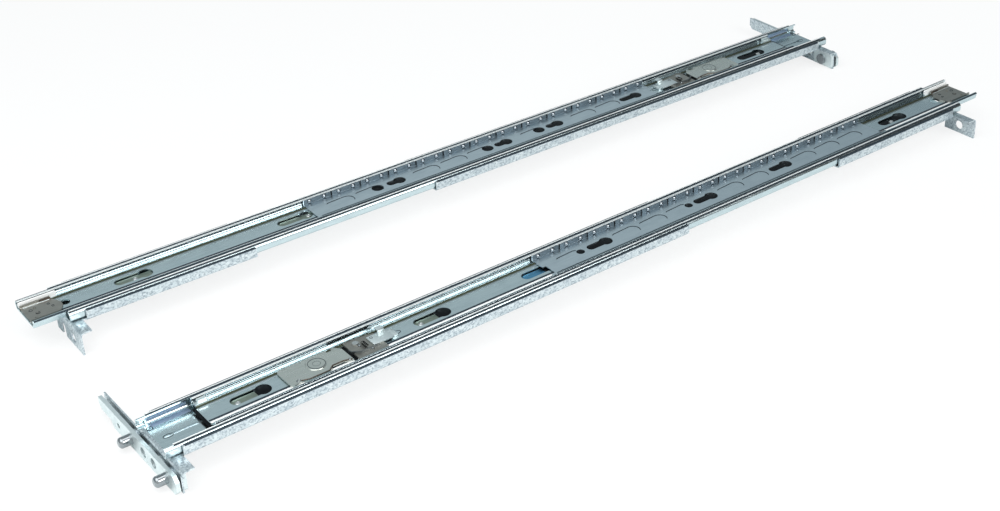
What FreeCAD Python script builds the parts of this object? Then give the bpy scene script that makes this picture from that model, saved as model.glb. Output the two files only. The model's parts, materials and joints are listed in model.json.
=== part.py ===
import FreeCAD, Part
import math
import os

# A pair of ball-bearing slide rails that carry a server in a rack.
# Both rails lie on their backs, open side up, as a left and a right rail.
# Rail frame: X runs from the face of the front plate to the rear, Y across the slide
# towards the far side, Z up from the surface that the rail lies on. Millimetres.

# Rack hole pattern
hole_step_wide = 15.875
hole_step_narrow = 12.7
pattern_middle_y = 2.75
hole_height = 6.0
bolt_hole_d = 6.4
pin_d = 6.6
pin_reach = 7.6
pin_nose = 2.4
pin_shank_d = 4.4
pin_clearance = 0.05
pin_tail_d = 8.4
pin_tail_thickness = 1.2
pin_pad_d = 9.2
locating_hole_d = 3.4
rear_slot_width = 6.5

# Front plate, front bracket and rear bracket
plate_thickness = 2.4
plate_height = 12.0
plate_near_end = -31.5
plate_shoulder = 48.0
plate_far_end = 66.5
tongue_bottom = 4.4
plate_chamfer = 3.0
shoulder_slope = 4.0
flange_gap = 1.4
flange_setback = 1.2
bracket_sheet = 1.0
bracket_bend = 3.0
web_underside = 15.0
web_near_edge = -33.5
web_far_edge = 25.0
front_web_depth = 6.6
flange_strip_top = 13.4
channel_half_width = 20.5
channel_bend = 1.6
channel_rim = 22.3
front_channel_setback = 8.0
front_channel_length = 364.9
rear_channel_length = 118.0
rear_channel_setback = 10.5
rear_flange_overhang = 0.5
rear_flange_far_edge = 7.5
rear_web_depth = 8.0
keeper_thickness = 2.2
keeper_width = 19.0
keeper_margin = 1.2

# Cabinet member, the fixed outer slide
slide_length = 638.6
cabinet_sheet = 0.9
cabinet_front = 5.4
cabinet_side_front = 2.2
cabinet_half_width = 19.0
cabinet_rim = 23.0
cabinet_bend = 2.2
cabinet_lip = 2.3
cabinet_slot_margin = 4.6
cabinet_slot_length = 34.0
cabinet_slot_width = 1.6
stop_lance_height = 2.0

# Intermediate member, the sliding middle slide
middle_sheet = 1.0
middle_front = 34.5
middle_shortening = 7.6
middle_rim = 23.9
middle_lip = 0.68
middle_corner = 5.0
running_gap = 0.3
middle_clearance = 0.9
race_clearance = 0.1

# Openings along the web of the intermediate member
key_length = 26.0
key_width = 7.6
key_eye_d = 10.0
key_middle_y = 1.2
key_places = (17.5, 141.5, 222.5, 265.5, 357.5, 428.5, 545.5)
eye_hole_margin = 26.5
eye_hole_d = 6.4

# Balls and their cages
ball_d = 2.8
ball_pitch = 11.49
balls_per_side = 26
inner_ball_y = 12.9
inner_cage_sheet = 0.6
inner_cage_margin = 4.8
cage_rest_a = 243.7
cage_rest_b = 136.5
slit_width = 0.8
slit_depth = 3.2
cage_key_length = 19.5
cage_short_key = 14.5
cage_hole_d = 5.6
cage_large_hole_d = 8.6
cage_keys_a = ((36.0, cage_key_length), (127.5, cage_key_length), (197.0, cage_key_length))
cage_holes_a = ((30.3, cage_hole_d), (122.4, cage_hole_d))
cage_keys_b = ((11.5, cage_key_length), (85.5, cage_short_key), (131.5, cage_short_key),
               (222.5, cage_short_key))
cage_holes_b = ((106.8, cage_large_hole_d), (152.3, cage_large_hole_d),
                (244.7, cage_large_hole_d))
cage_key_width = 6.0
cage_eye_d = 9.0
outer_cage_sheet = 0.4
outer_cage_flange_sheet = 0.8
outer_cage_place = 184.6
outer_cage_length = 290.0
outer_balls_per_side = 10
pocket_clearance = 0.05

# Release latch, rear stop and buffers
latch_place = 51.5
latch_length = 42.0
latch_pivot_place = 22.0
latch_pivot_y = 1.5
latch_half_width = 10.0
latch_sheet = 1.0
latch_boss_d = 12.4
latch_boss_height = 0.4
latch_pivot_d = 5.0
latch_base_gap = 3.0
latch_base_length = 20.5
latch_block_overlap = 7.0
latch_block_length = 18.0
latch_block_near = -4.0
latch_block_far = 6.0
latch_block_height = 1.9
latch_tab_height = 3.6
latch_rivet_y = 5.0
stop_length = 23.5
stop_margin = 0.7
stop_near = -9.0
stop_far = 10.5
stop_wall_height = 2.4
buffer_thickness = 1.1
buffer_inset = 1.2
bumper_length = 8.0
bumper_step = 1.8

# Fasteners
rivet_d = 4.0
rivet_head_d = 7.0
rivet_head_height = 1.0
flush_margin = 0.1
front_rivets = 4
front_rivet_margin = 36.0
adjusting_screw_spacing = 30.0
screw_d = 4.0
screw_head_d = 6.8
adjusting_slot_margin = 4.0
adjusting_slot_width = 4.8
washer_d = 9.0
washer_thickness = 0.8
nut_flats = 7.0
nut_thickness = 3.2

# Where the second rail lies beside the first
second_rail_x = 662.2
second_rail_y = 148.6
second_rail_yaw = -1.232

# Levels that follow from the sizes above
bracket_top = web_underside + bracket_sheet
cabinet_floor = bracket_top + cabinet_sheet
outer_cage_bottom = cabinet_floor + running_gap
middle_bottom = outer_cage_bottom + outer_cage_sheet + middle_clearance
middle_floor = middle_bottom + middle_sheet
inner_cage_bottom = middle_floor + running_gap
inner_cage_top = inner_cage_bottom + inner_cage_sheet
inner_ball_z = inner_cage_top + running_gap + ball_d / 2 - pocket_clearance
outer_ball_z = (cabinet_floor + cabinet_rim - cabinet_sheet) / 2
outer_ball_y = cabinet_half_width - cabinet_sheet - ball_d / 2 - race_clearance
middle_waist = outer_ball_y - (ball_d + middle_sheet) / 2 - 4 * race_clearance
middle_shoulder = inner_ball_y + (ball_d + middle_sheet) / 2 + race_clearance
channel_wall_cut = channel_half_width - bracket_sheet - channel_bend
cabinet_wall_cut = cabinet_half_width - cabinet_sheet - cabinet_bend - 1
middle_wall_cut = middle_waist - 1.6
cage_wall_cut = inner_ball_y - 1.4
cabinet_rear = cabinet_front + slide_length
middle_rear = middle_front + slide_length - middle_shortening
pin_span = 2 * hole_step_wide + hole_step_narrow
pin_ys = (pattern_middle_y + pin_span / 2, pattern_middle_y - pin_span / 2)
bolt_ys = (pattern_middle_y + hole_step_narrow / 2, pattern_middle_y - hole_step_narrow / 2)
locating_y = pin_ys[0] + hole_step_wide
flange_front = plate_thickness + flange_gap
flange_rear = flange_front + bracket_sheet
front_channel_start = flange_front + front_channel_setback
front_channel_end = front_channel_start + front_channel_length
rear_flange_face = cabinet_rear + rear_flange_overhang
rear_flange_front = rear_flange_face - bracket_sheet
rear_web_front_edge = rear_flange_face - rear_web_depth
rear_channel_end = rear_flange_face - rear_channel_setback
rear_channel_start = rear_channel_end - rear_channel_length
adjusting_slot_start = rear_channel_start + adjusting_slot_margin
adjusting_slot_end = rear_channel_end - adjusting_slot_margin
rivet_pitch = (front_channel_length - 2 * front_rivet_margin) / (front_rivets - 1)
front_rivets_x = [front_channel_start + front_rivet_margin + i * rivet_pitch
                  for i in range(front_rivets)]
adjusting_screws_x = [(adjusting_slot_start + adjusting_slot_end + s * adjusting_screw_spacing) / 2
                      for s in (-1, 1)]
key_starts = [middle_front + place for place in key_places]
eye_hole_x = middle_rear - eye_hole_margin
first_ball_a = middle_front + cage_rest_a
first_ball_b = middle_front + cage_rest_b
outer_cage_front = cabinet_front + outer_cage_place
latch_front = middle_front + latch_place
latch_rear = latch_front + latch_length
latch_pivot_x = latch_front + latch_pivot_place
latch_base_front = latch_rear + latch_base_gap
latch_base_rear = latch_base_front + latch_base_length
latch_block_front = latch_base_rear - latch_block_overlap
latch_block_rear = latch_block_front + latch_block_length
stop_rear = middle_rear - stop_margin
stop_front = stop_rear - stop_length


def vec(x, y, z):
    return FreeCAD.Vector(x, y, z)


def box(x0, x1, y0, y1, z0, z1):
    return Part.makeBox(x1 - x0, y1 - y0, z1 - z0, vec(x0, y0, z0))


def upright(x, y, z0, z1, diameter):
    return Part.makeCylinder(diameter / 2, z1 - z0, vec(x, y, z0), vec(0, 0, 1))


def lengthwise(x0, x1, y, z, diameter):
    return Part.makeCylinder(diameter / 2, x1 - x0, vec(x0, y, z), vec(1, 0, 0))


def fuse_all(shapes):
    return shapes[0].multiFuse(shapes[1:]).removeSplitter() if len(shapes) > 1 else shapes[0]


def slot_tool(x0, x1, y, width, z0, z1):
    """A slot with round ends, from end to end, standing up through a sheet."""
    r = width / 2
    middle = box(x0 + r, x1 - r, y - r, y + r, z0, z1)
    return fuse_all([middle, upright(x0 + r, y, z0, z1, width), upright(x1 - r, y, z0, z1, width)])


def keyhole_tool(x0, x1, y, width, eye, z0, z1, eye_at_rear=True):
    """A slot with one large round end, which a headed stud drops through."""
    eye_x = x1 - eye / 2 if eye_at_rear else x0 + eye / 2
    return fuse_all([slot_tool(x0, x1, y, width, z0, z1), upright(eye_x, y, z0, z1, eye)])


def offset_corners(points, shift):
    """The corners of a folded line, each moved sideways by the same distance."""
    lines = []
    for (ax, ay), (bx, by) in zip(points, points[1:]):
        run = math.hypot(bx - ax, by - ay)
        nx, ny = -(by - ay) / run * shift, (bx - ax) / run * shift
        lines.append((ax + nx, ay + ny, bx + nx, by + ny))
    moved = [lines[0][:2]]
    for (ax, ay, bx, by), (cx, cy, dx, dy) in zip(lines, lines[1:]):
        ux, uy, wx, wy = bx - ax, by - ay, dx - cx, dy - cy
        along = ((cx - ax) * wy - (cy - ay) * wx) / (ux * wy - uy * wx)
        moved.append((ax + ux * along, ay + uy * along))
    moved.append(lines[-1][2:])
    return moved


def turn_side(a, b, c):
    return 1 if (b[0] - a[0]) * (c[1] - b[1]) - (b[1] - a[1]) * (c[0] - b[0]) > 0 else -1


def rounded_run(points, radii, place):
    """Straight runs joined by tangent arcs; place turns flat points into space."""
    edges = []
    start = place(*points[0])
    for a, b, c, r in zip(points, points[1:], points[2:], radii):
        back = (place(*a) - place(*b)).normalize()
        ahead = (place(*c) - place(*b)).normalize()
        corner = place(*b)
        half_turn = back.getAngle(ahead) / 2
        reach = r / math.tan(half_turn)
        first = corner + back * reach
        last = corner + ahead * reach
        bisector = (back + ahead).normalize()
        middle = corner + bisector * (r / math.sin(half_turn) - r)
        if (first - start).Length > 1e-6:
            edges.append(Part.LineSegment(start, first).toShape())
        edges.append(Part.Arc(first, middle, last).toShape())
        start = last
    edges.append(Part.LineSegment(start, place(*points[-1])).toShape())
    return edges


def folded_strip(points, radii, thickness, place, sweep):
    """A sheet of one thickness folded along a line of corners, then run along sweep."""
    half = thickness / 2
    turns = [turn_side(a, b, c) for a, b, c in zip(points, points[1:], points[2:])]
    left = offset_corners(points, half)
    right = offset_corners(points, -half)
    left_radii = [r - half * side for r, side in zip(radii, turns)]
    right_radii = [r + half * side for r, side in zip(radii, turns)]
    edges = rounded_run(left, left_radii, place)
    edges += [Part.LineSegment(place(*left[-1]), place(*right[-1])).toShape()]
    edges += rounded_run(right[::-1], right_radii[::-1], place)
    edges += [Part.LineSegment(place(*right[0]), place(*left[0])).toShape()]
    wire = Part.Wire(Part.__sortEdges__(edges))
    return Part.Face(wire).extrude(sweep)


def channel_section(side_points, side_radii, thickness, x0, x1):
    """A symmetric channel: the far side's corners, from the web outwards, are mirrored."""
    near = [(-y, z) for y, z in side_points[::-1]]
    points = near + list(side_points)
    radii = list(side_radii[::-1]) + list(side_radii)
    return folded_strip(points, radii, thickness, lambda y, z: vec(x0, y, z), vec(x1 - x0, 0, 0))


def parted(sheet, x0, x1, y_cut):
    """One sheet as a web and walls that meet face to face, so collision stays open between."""
    low, high = sheet.BoundBox.ZMin - 1, sheet.BoundBox.ZMax + 1
    side = max(-sheet.BoundBox.YMin, sheet.BoundBox.YMax) + 1
    cells = [box(x0, x1, -side, -y_cut, low, high), box(x0, x1, -y_cut, y_cut, low, high),
             box(x0, x1, y_cut, side, low, high)]
    if sheet.BoundBox.XMin < x0 - 1:
        cells.append(box(sheet.BoundBox.XMin - 1, x0, -side, side, low, high))
    if sheet.BoundBox.XMax > x1 + 1:
        cells.append(box(x1, sheet.BoundBox.XMax + 1, -side, side, low, high))
    solids = []
    for cell in cells:
        solids += sheet.common(cell).Solids
    return Part.makeCompound(solids)


def plate_outline(top, tongue_low, x0, x1):
    """The front plate's outline: full height, then a sloped shoulder and a low tongue."""
    cut = plate_chamfer
    corners = [(plate_near_end + cut, 0), (plate_shoulder, 0),
               (plate_shoulder + shoulder_slope, tongue_low),
               (plate_far_end - cut, tongue_low), (plate_far_end, tongue_low + cut),
               (plate_far_end, top), (plate_near_end + cut, top),
               (plate_near_end, top - cut), (plate_near_end, cut)]
    wire = Part.makePolygon([vec(x0, y, z) for y, z in corners + corners[:1]])
    return Part.Face(wire).extrude(vec(x1 - x0, 0, 0))


# Front bracket group

def make_pin_plate():
    plate = plate_outline(plate_height, tongue_bottom, 0, plate_thickness)
    through = [lengthwise(-1, plate_thickness + 1, y, hole_height, bolt_hole_d) for y in bolt_ys]
    through += [lengthwise(-1, plate_thickness + 1, y, hole_height, pin_shank_d + 2 * pin_clearance)
                for y in pin_ys]
    through.append(lengthwise(-1, plate_thickness + 1, locating_y, hole_height, locating_hole_d))
    return plate.cut(fuse_compound(through))


def fuse_compound(shapes):
    return Part.makeCompound(shapes)


def make_mounting_pins():
    """Bullet-nosed pins, shouldered on the plate and riveted over behind the bracket."""
    pins = []
    for y in pin_ys:
        tail_start = flange_rear + (keeper_thickness if y < 0 else 0)
        nose_x = -pin_reach
        profile = [vec(nose_x, 0, 0), vec(nose_x, pin_d / 2 - pin_nose * 0.8, 0)]
        shoulder = vec(nose_x + pin_nose, pin_d / 2, 0)
        bulge = vec(nose_x + pin_nose * 0.25, pin_d / 2 - pin_nose * 0.27, 0)
        tail_end = tail_start + pin_tail_thickness
        rest = [shoulder, vec(0, pin_d / 2, 0), vec(0, pin_shank_d / 2, 0),
                vec(tail_start, pin_shank_d / 2, 0), vec(tail_start, pin_tail_d / 2, 0),
                vec(tail_end, pin_tail_d / 2, 0), vec(tail_end, 0, 0), profile[0]]
        edges = [Part.LineSegment(*profile).toShape(), Part.Arc(profile[1], bulge, shoulder).toShape()]
        edges += [Part.LineSegment(a, b).toShape() for a, b in zip(rest, rest[1:])]
        solid = Part.Face(Part.Wire(edges)).revolve(vec(0, 0, 0), vec(1, 0, 0), 360)
        solid.translate(vec(0, y, hole_height))
        pins.append(solid)
    return Part.makeCompound(pins)


def make_pin_keeper():
    """A small plate behind the flange, under the near pin's riveted tail."""
    y0 = plate_near_end + keeper_margin
    keeper = box(flange_rear, flange_rear + keeper_thickness, y0, y0 + keeper_width,
                 keeper_margin, plate_height + keeper_margin / 2)
    corners = [e for e in keeper.Edges
               if abs(e.Vertexes[0].Point.x - e.Vertexes[-1].Point.x) > keeper_thickness / 2]
    keeper = keeper.makeFillet(keeper_margin, corners)
    return keeper.cut(lengthwise(flange_rear - 1, flange_rear + keeper_thickness + 1, pin_ys[1],
                                 hole_height, pin_shank_d + 2 * pin_clearance))


def make_front_bracket():
    """One galvanised sheet: flange behind the plate, bend, web and slide channel."""
    mid_flange = flange_front + bracket_sheet / 2
    mid_web = web_underside + bracket_sheet / 2
    web_end = flange_front + bracket_sheet + front_web_depth
    elbow = folded_strip([(mid_flange, 0), (mid_flange, mid_web), (web_end, mid_web)],
                         [bracket_bend - bracket_sheet / 2], bracket_sheet,
                         lambda x, z: vec(x, web_near_edge, z),
                         vec(0, web_far_edge - web_near_edge, 0))
    nose = plate_near_end + flange_setback - web_near_edge
    elbow = elbow.cut(box(flange_front - 1, flange_rear + bracket_bend, web_near_edge - 1,
                          web_near_edge + nose, -1, web_underside - bracket_bend))
    strip = plate_outline(flange_strip_top, tongue_bottom, flange_front, flange_rear)
    strip = strip.common(box(0, flange_rear, web_far_edge - 1, plate_far_end + 1, -1, channel_rim))
    bridge = box(web_end - 1, front_channel_start + 1, -channel_half_width + channel_bend,
                 channel_half_width - channel_bend, web_underside, bracket_top)
    channel = make_bracket_channel(front_channel_start, front_channel_end, web_underside)
    pads = [lengthwise(plate_thickness, flange_front + 0.1, y, hole_height, pin_pad_d)
            for y in pin_ys]
    body = fuse_all([elbow, strip, bridge, channel] + pads)
    through = [lengthwise(0, flange_rear + 1, y, hole_height, bolt_hole_d) for y in bolt_ys]
    through += [lengthwise(0, flange_rear + 1, y, hole_height, pin_shank_d + 2 * pin_clearance)
                for y in pin_ys]
    through.append(lengthwise(0, flange_rear + 1, locating_y, hole_height, locating_hole_d))
    through += [upright(x, 0, web_underside - 1, bracket_top + 1, rivet_d + 2 * pin_clearance)
                for x in front_rivets_x]
    body = body.cut(fuse_compound(through))
    return parted(body, front_channel_start, front_channel_end + 1, channel_wall_cut)


def make_bracket_channel(x0, x1, underside):
    mid_web = underside + bracket_sheet / 2
    mid_side = channel_half_width - bracket_sheet / 2
    rim = channel_rim - (web_underside - underside)
    return channel_section([(mid_side, mid_web), (mid_side, rim)],
                           [channel_bend - bracket_sheet / 2], bracket_sheet, x0, x1)


def make_rear_bracket():
    """The adjustable galvanised bracket: channel, web, bent-down flange and long slot."""
    underside = web_underside - running_gap
    mid_web = underside + bracket_sheet / 2
    mid_flange = rear_flange_face - bracket_sheet / 2
    channel = make_bracket_channel(rear_channel_start, rear_channel_end, underside)
    elbow = folded_strip([(rear_web_front_edge, mid_web), (mid_flange, mid_web), (mid_flange, 0)],
                         [bracket_bend - bracket_sheet / 2], bracket_sheet,
                         lambda x, z: vec(x, web_near_edge, z),
                         vec(0, rear_flange_far_edge - web_near_edge, 0))
    bridge = box(rear_channel_end - 1, rear_web_front_edge + 1, -channel_half_width + channel_bend,
                 rear_flange_far_edge, underside, underside + bracket_sheet)
    body = fuse_all([channel, elbow, bridge])
    x0, x1 = rear_flange_front - 1, rear_flange_face + 1
    hole = lengthwise(x0, x1, pin_ys[1], hole_height, rear_slot_width)
    slot_y = pin_ys[1] + hole_step_wide
    half = rear_slot_width / 2
    open_slot = [lengthwise(x0, x1, slot_y, hole_height, rear_slot_width),
                 box(x0, x1, slot_y - half, slot_y + half, -1, hole_height)]
    long_slot = slot_tool(adjusting_slot_start, adjusting_slot_end, 0, adjusting_slot_width,
                          underside - 1, bracket_top + 1)
    body = body.cut(fuse_all([hole, fuse_all(open_slot), long_slot]))
    return parted(body, rear_channel_start - 1, rear_channel_end, channel_wall_cut)


# Cabinet member group

def make_cabinet_member():
    mid_web = bracket_top + cabinet_sheet / 2
    mid_side = cabinet_half_width - cabinet_sheet / 2
    mid_lip = cabinet_rim - cabinet_sheet / 2
    lip_end = mid_side - cabinet_lip
    member = channel_section([(mid_side, mid_web), (mid_side, mid_lip), (lip_end, mid_lip)],
                             [cabinet_bend, cabinet_lip - 0.2], cabinet_sheet,
                             cabinet_side_front, cabinet_rear)
    setback = box(0, cabinet_front, -cabinet_half_width + cabinet_bend * 1.5,
                  cabinet_half_width - cabinet_bend * 1.5, bracket_top - 1, cabinet_floor + 1)
    member = member.cut(setback)
    slot_start = cabinet_front + cabinet_slot_margin
    long_slot = slot_tool(slot_start, slot_start + cabinet_slot_length, 0,
                          cabinet_slot_width, bracket_top - 1, cabinet_floor + 1)
    cone = [Part.makeCone(rivet_d / 2 + pin_clearance, screw_head_d / 2 + pin_clearance,
                          cabinet_sheet, vec(x, 0, bracket_top), vec(0, 0, 1))
            for x in front_rivets_x + adjusting_screws_x]
    member = member.cut(fuse_compound([long_slot] + cone))
    lances = []
    for x in (cabinet_front + 1.5, cabinet_rear - 6):
        lances.append(box(x, x + cabinet_sheet, outer_ball_y - 0.6, outer_ball_y + 0.8,
                          cabinet_floor - flush_margin, cabinet_floor + stop_lance_height))
    return parted(fuse_all([member] + lances), cabinet_side_front - 1, cabinet_rear + 1,
                  cabinet_wall_cut)


def countersunk(x, z_low):
    """A flush fastener: a cone in the cabinet web on a straight shank."""
    top = cabinet_floor - flush_margin
    slope = (screw_head_d - rivet_d) / 2 / cabinet_sheet
    head = Part.makeCone(rivet_d / 2, rivet_d / 2 + slope * (top - bracket_top),
                         top - bracket_top, vec(x, 0, bracket_top), vec(0, 0, 1))
    return fuse_all([head, upright(x, 0, z_low, bracket_top, rivet_d)])


def make_bracket_rivets():
    rivets = []
    for x in front_rivets_x:
        shank = countersunk(x, web_underside)
        head = upright(x, 0, web_underside - rivet_head_height, web_underside, rivet_head_d)
        rivets.append(fuse_all([shank, head]))
    return Part.makeCompound(rivets)


def hexagon(x, z0, z1, flats):
    r = flats / math.sqrt(3)
    corners = [vec(x + r * math.cos(math.radians(a)), r * math.sin(math.radians(a)), z0)
               for a in range(0, 361, 60)]
    return Part.Face(Part.makePolygon(corners)).extrude(vec(0, 0, z1 - z0))


def make_adjusting_screws():
    washer_top = web_underside - 2 * running_gap
    nut_bottom = washer_top - washer_thickness - nut_thickness
    return Part.makeCompound([countersunk(x, nut_bottom - 1.0) for x in adjusting_screws_x])


def make_adjusting_nuts():
    """Flanged nuts that clamp the rear bracket through its long slot."""
    washer_top = web_underside - 2 * running_gap
    nuts = []
    for x in adjusting_screws_x:
        flange = upright(x, 0, washer_top - washer_thickness, washer_top, washer_d)
        nut_low = washer_top - washer_thickness - nut_thickness
        body = hexagon(x, nut_low, washer_top - washer_thickness, nut_flats)
        bore = upright(x, 0, nut_low - 1, washer_top + 1, screw_d + 2 * pin_clearance)
        nuts.append(fuse_all([flange, body]).cut(bore))
    return Part.makeCompound(nuts)


def faceted_ball(x, y, z, diameter):
    """A ball cut to 26 flats, so that long rows of them stay light."""
    r = diameter / 2
    cube = box(x - r, x + r, y - r, y + r, z - r, z + r)
    return cube.makeChamfer(r * (2 - math.sqrt(2)), cube.Edges)


# Outer ball cage, between the cabinet and the intermediate member

def outer_ball_xs():
    pitch = (outer_cage_length - 2 * inner_cage_margin) / (outer_balls_per_side - 1)
    return [outer_cage_front + inner_cage_margin + i * pitch for i in range(outer_balls_per_side)]


def make_outer_cage():
    x0, x1 = outer_cage_front, outer_cage_front + outer_cage_length
    web = box(x0, x1, -outer_ball_y, outer_ball_y, outer_cage_bottom,
              outer_cage_bottom + outer_cage_sheet)
    half = outer_cage_flange_sheet / 2
    top = outer_ball_z + ball_d / 2 + running_gap
    sides = [box(x0, x1, s * outer_ball_y - half, s * outer_ball_y + half, outer_cage_bottom, top)
             for s in (-1, 1)]
    pocket_d = ball_d + 2 * pocket_clearance
    pockets = [ball_pocket(x, s * outer_ball_y, outer_ball_z, pocket_d)
               for x in outer_ball_xs() for s in (-1, 1)]
    windows = [box(x0 + 30, x1 - 30, -4, 4, outer_cage_bottom - 1, outer_cage_bottom + 1)]
    cage = fuse_all([web] + sides).cut(fuse_compound(pockets + windows))
    return parted(cage, x0 - 1, x1 + 1, outer_ball_y - outer_cage_flange_sheet)


def ball_pocket(x, y, z, size):
    """A square window in a cage flange, the ball's own width plus its clearance."""
    half = size / 2
    return box(x - half, x + half, y - size, y + size, z - half, z + half)


def make_outer_balls():
    return Part.makeCompound([faceted_ball(x, s * outer_ball_y, outer_ball_z, ball_d)
                              for x in outer_ball_xs() for s in (-1, 1)])


# Intermediate member group

def make_intermediate_member(eye_at_rear):
    mid_web = middle_bottom + middle_sheet / 2
    mid_lip = middle_rim - middle_sheet / 2
    side = [(middle_waist + 0.25, mid_web), (middle_waist, outer_ball_z + 0.9),
            (middle_shoulder, inner_ball_z - 0.8), (middle_shoulder - 0.04, mid_lip),
            (middle_shoulder - middle_lip, mid_lip)]
    member = channel_section(side, [0.9, 1.6, 1.6, 0.6], middle_sheet, middle_front, middle_rear)
    z0, z1 = middle_bottom - 1, middle_floor + 1
    tools = [keyhole_tool(x, x + key_length, key_middle_y, key_width, key_eye_d, z0, z1,
                          eye_at_rear)
             for x in key_starts]
    tools.append(upright(eye_hole_x, key_middle_y, z0, z1, eye_hole_d))
    cut = middle_corner
    for s in (-1, 1):
        y = s * (middle_waist - 1.2)
        corner = Part.makePolygon([vec(middle_front - 1, y, z0), vec(middle_front + cut, y, z0),
                                   vec(middle_front - 1, y - s * (cut + 1), z0),
                                   vec(middle_front - 1, y, z0)])
        tools.append(Part.Face(corner).extrude(vec(0, 0, z1 - z0)))
    pivot_hole = upright(latch_pivot_x, latch_pivot_y, z0, z1, latch_pivot_d + 2 * pin_clearance)
    member = member.cut(fuse_compound(tools + [pivot_hole]))
    return parted(member, middle_front - 1, middle_rear + 1, middle_wall_cut)


def make_inner_cage(first_ball, keys, holes, eye_at_rear):
    """A thin channel whose upright flanges hold the balls, slit between every two."""
    x0 = first_ball - inner_cage_margin
    x1 = first_ball + (balls_per_side - 1) * ball_pitch + inner_cage_margin
    mid_web = inner_cage_bottom + inner_cage_sheet / 2
    top = inner_ball_z + ball_d / 2 + running_gap / 2
    cage = channel_section([(inner_ball_y, mid_web), (inner_ball_y, top)], [0.5],
                           inner_cage_sheet, x0, x1)
    pocket_d = ball_d + 2 * pocket_clearance
    flange_outside = inner_ball_y + 1
    flange_inside = inner_ball_y - 1
    tools = []
    for i in range(balls_per_side):
        x = first_ball + i * ball_pitch
        tools += [ball_pocket(x, s * inner_ball_y, inner_ball_z, pocket_d) for s in (-1, 1)]
        if i % 2 == 1 and i < balls_per_side - 1:
            slit_x = x + ball_pitch / 2
            for y0, y1 in ((flange_inside, flange_outside), (-flange_outside, -flange_inside)):
                tools.append(box(slit_x - slit_width / 2, slit_x + slit_width / 2, y0, y1,
                                 top - slit_depth, top + 1))
    z0, z1 = inner_cage_bottom - 1, inner_cage_top + 1
    for start, length in keys:
        tools.append(keyhole_tool(x0 + start, x0 + start + length, key_middle_y, cage_key_width,
                                  cage_eye_d, z0, z1, eye_at_rear))
    tools += [upright(x0 + place, key_middle_y, z0, z1, size) for place, size in holes]
    notch = inner_ball_y * 0.62
    tools.append(box(x0 - 1, x0 + 2.5, -notch, notch * 0.2, z0, z1))
    return parted(cage.cut(fuse_compound(tools)), x0 - 1, x1 + 1, cage_wall_cut)


def make_inner_balls(first_ball):
    return Part.makeCompound([faceted_ball(first_ball + i * ball_pitch, s * inner_ball_y,
                                           inner_ball_z, ball_d)
                              for i in range(balls_per_side) for s in (-1, 1)])


def flat_piece(corners, z0, z1):
    wire = Part.makePolygon([vec(x, y, z0) for x, y in corners + corners[:1]])
    return Part.Face(wire).extrude(vec(0, 0, z1 - z0))


def make_latch_lever():
    """A stamped spring-steel lever with a round boss over its pivot."""
    z0 = middle_floor + running_gap
    z1 = z0 + latch_sheet
    w = latch_half_width
    waist = (latch_front + latch_rear) / 2
    blade = flat_piece([(latch_front, -w * 0.75), (latch_front + 2, -w * 0.9),
                        (latch_front + 7, -w * 0.78), (latch_front + 12, -w * 0.95),
                        (waist + 4, -w * 0.95), (waist + 8, -w * 0.62), (latch_rear - 6, -w * 0.62),
                        (latch_rear, -w * 0.8), (latch_rear, w * 0.55),
                        (latch_rear - 3.5, w), (latch_front + 2, w), (latch_front, w * 0.8)],
                       z0, z1)
    boss = upright(latch_pivot_x, latch_pivot_y, z0, z1 + latch_boss_height, latch_boss_d)
    boss = boss.makeChamfer(latch_boss_height * 0.7, [e for e in boss.Edges
                                                      if e.BoundBox.ZMin > z1 + 0.1])
    socket = upright(latch_pivot_x, latch_pivot_y, z0 - 1, z1 + latch_boss_height - 0.4,
                     latch_pivot_d + 2 * pin_clearance)
    notch = box(latch_rear - 9, latch_rear - 5.5, w - 2.2, w + 1, z0 - 1, z1 + 1)
    return fuse_all([blade, boss]).cut(fuse_compound([socket])).cut(notch)


def make_latch_pivot():
    """The post that the lever turns on, headed under the web."""
    top = middle_floor + running_gap + latch_sheet + latch_boss_height - 0.4 - 0.15
    return upright(latch_pivot_x, latch_pivot_y, middle_bottom + flush_margin, top, latch_pivot_d)


def make_latch_base():
    w = latch_half_width
    plate = flat_piece([(latch_base_front, -w), (latch_base_rear, -w * 0.9),
                        (latch_base_rear, w * 0.8), (latch_base_front + 3, w * 1.1),
                        (latch_base_front, w)],
                       middle_floor, middle_floor + latch_sheet)
    return plate.cut(upright(latch_base_front + 6, latch_rivet_y, middle_floor - 1,
                             middle_floor + 2, rivet_d * 0.6 + 2 * pin_clearance))


def make_latch_block():
    """A light folded block on the base, with a finger tab that stands at its far side."""
    z0 = middle_floor + latch_sheet
    base = flat_piece([(latch_block_front, latch_block_near + 1.5),
                       (latch_block_front + 1.5, latch_block_near),
                       (latch_base_rear - 0.5, latch_block_near), (latch_base_rear - 0.5, latch_block_far),
                       (latch_block_front, latch_block_far - 1)], z0, z0 + latch_block_height)
    ledge = box(latch_base_rear - 1, latch_block_rear, latch_block_near, latch_block_far,
                z0, z0 + latch_block_height)
    tab = box(latch_block_rear - 8, latch_block_rear - 2, latch_block_far - 1,
              latch_block_far + 4, z0 + latch_block_height - 1.0, z0 + latch_block_height)
    finger = box(latch_block_rear - 8, latch_block_rear - 2, latch_block_far + 3,
                 latch_block_far + 4, z0 + latch_block_height - 1.0, z0 + latch_tab_height)
    foot = box(latch_base_rear + 0.2, latch_block_rear, latch_block_near, latch_block_far,
               middle_floor, z0 + 0.1)
    return fuse_all([base, ledge, tab, finger, foot])


def make_latch_spring():
    """A flat leaf from the block to the lever's notched end."""
    z0 = middle_floor + latch_sheet
    y = latch_block_near - 1.6
    path = [(latch_block_front + 3, y), (latch_base_front + 4, y), (latch_base_front - 1, y + 3.2),
            (latch_base_front - 1.4, y + 6)]
    return folded_strip(path, [3.0, 1.2], 0.5, lambda x, v: vec(x, v, z0), vec(0, 0, 1.6))


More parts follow.
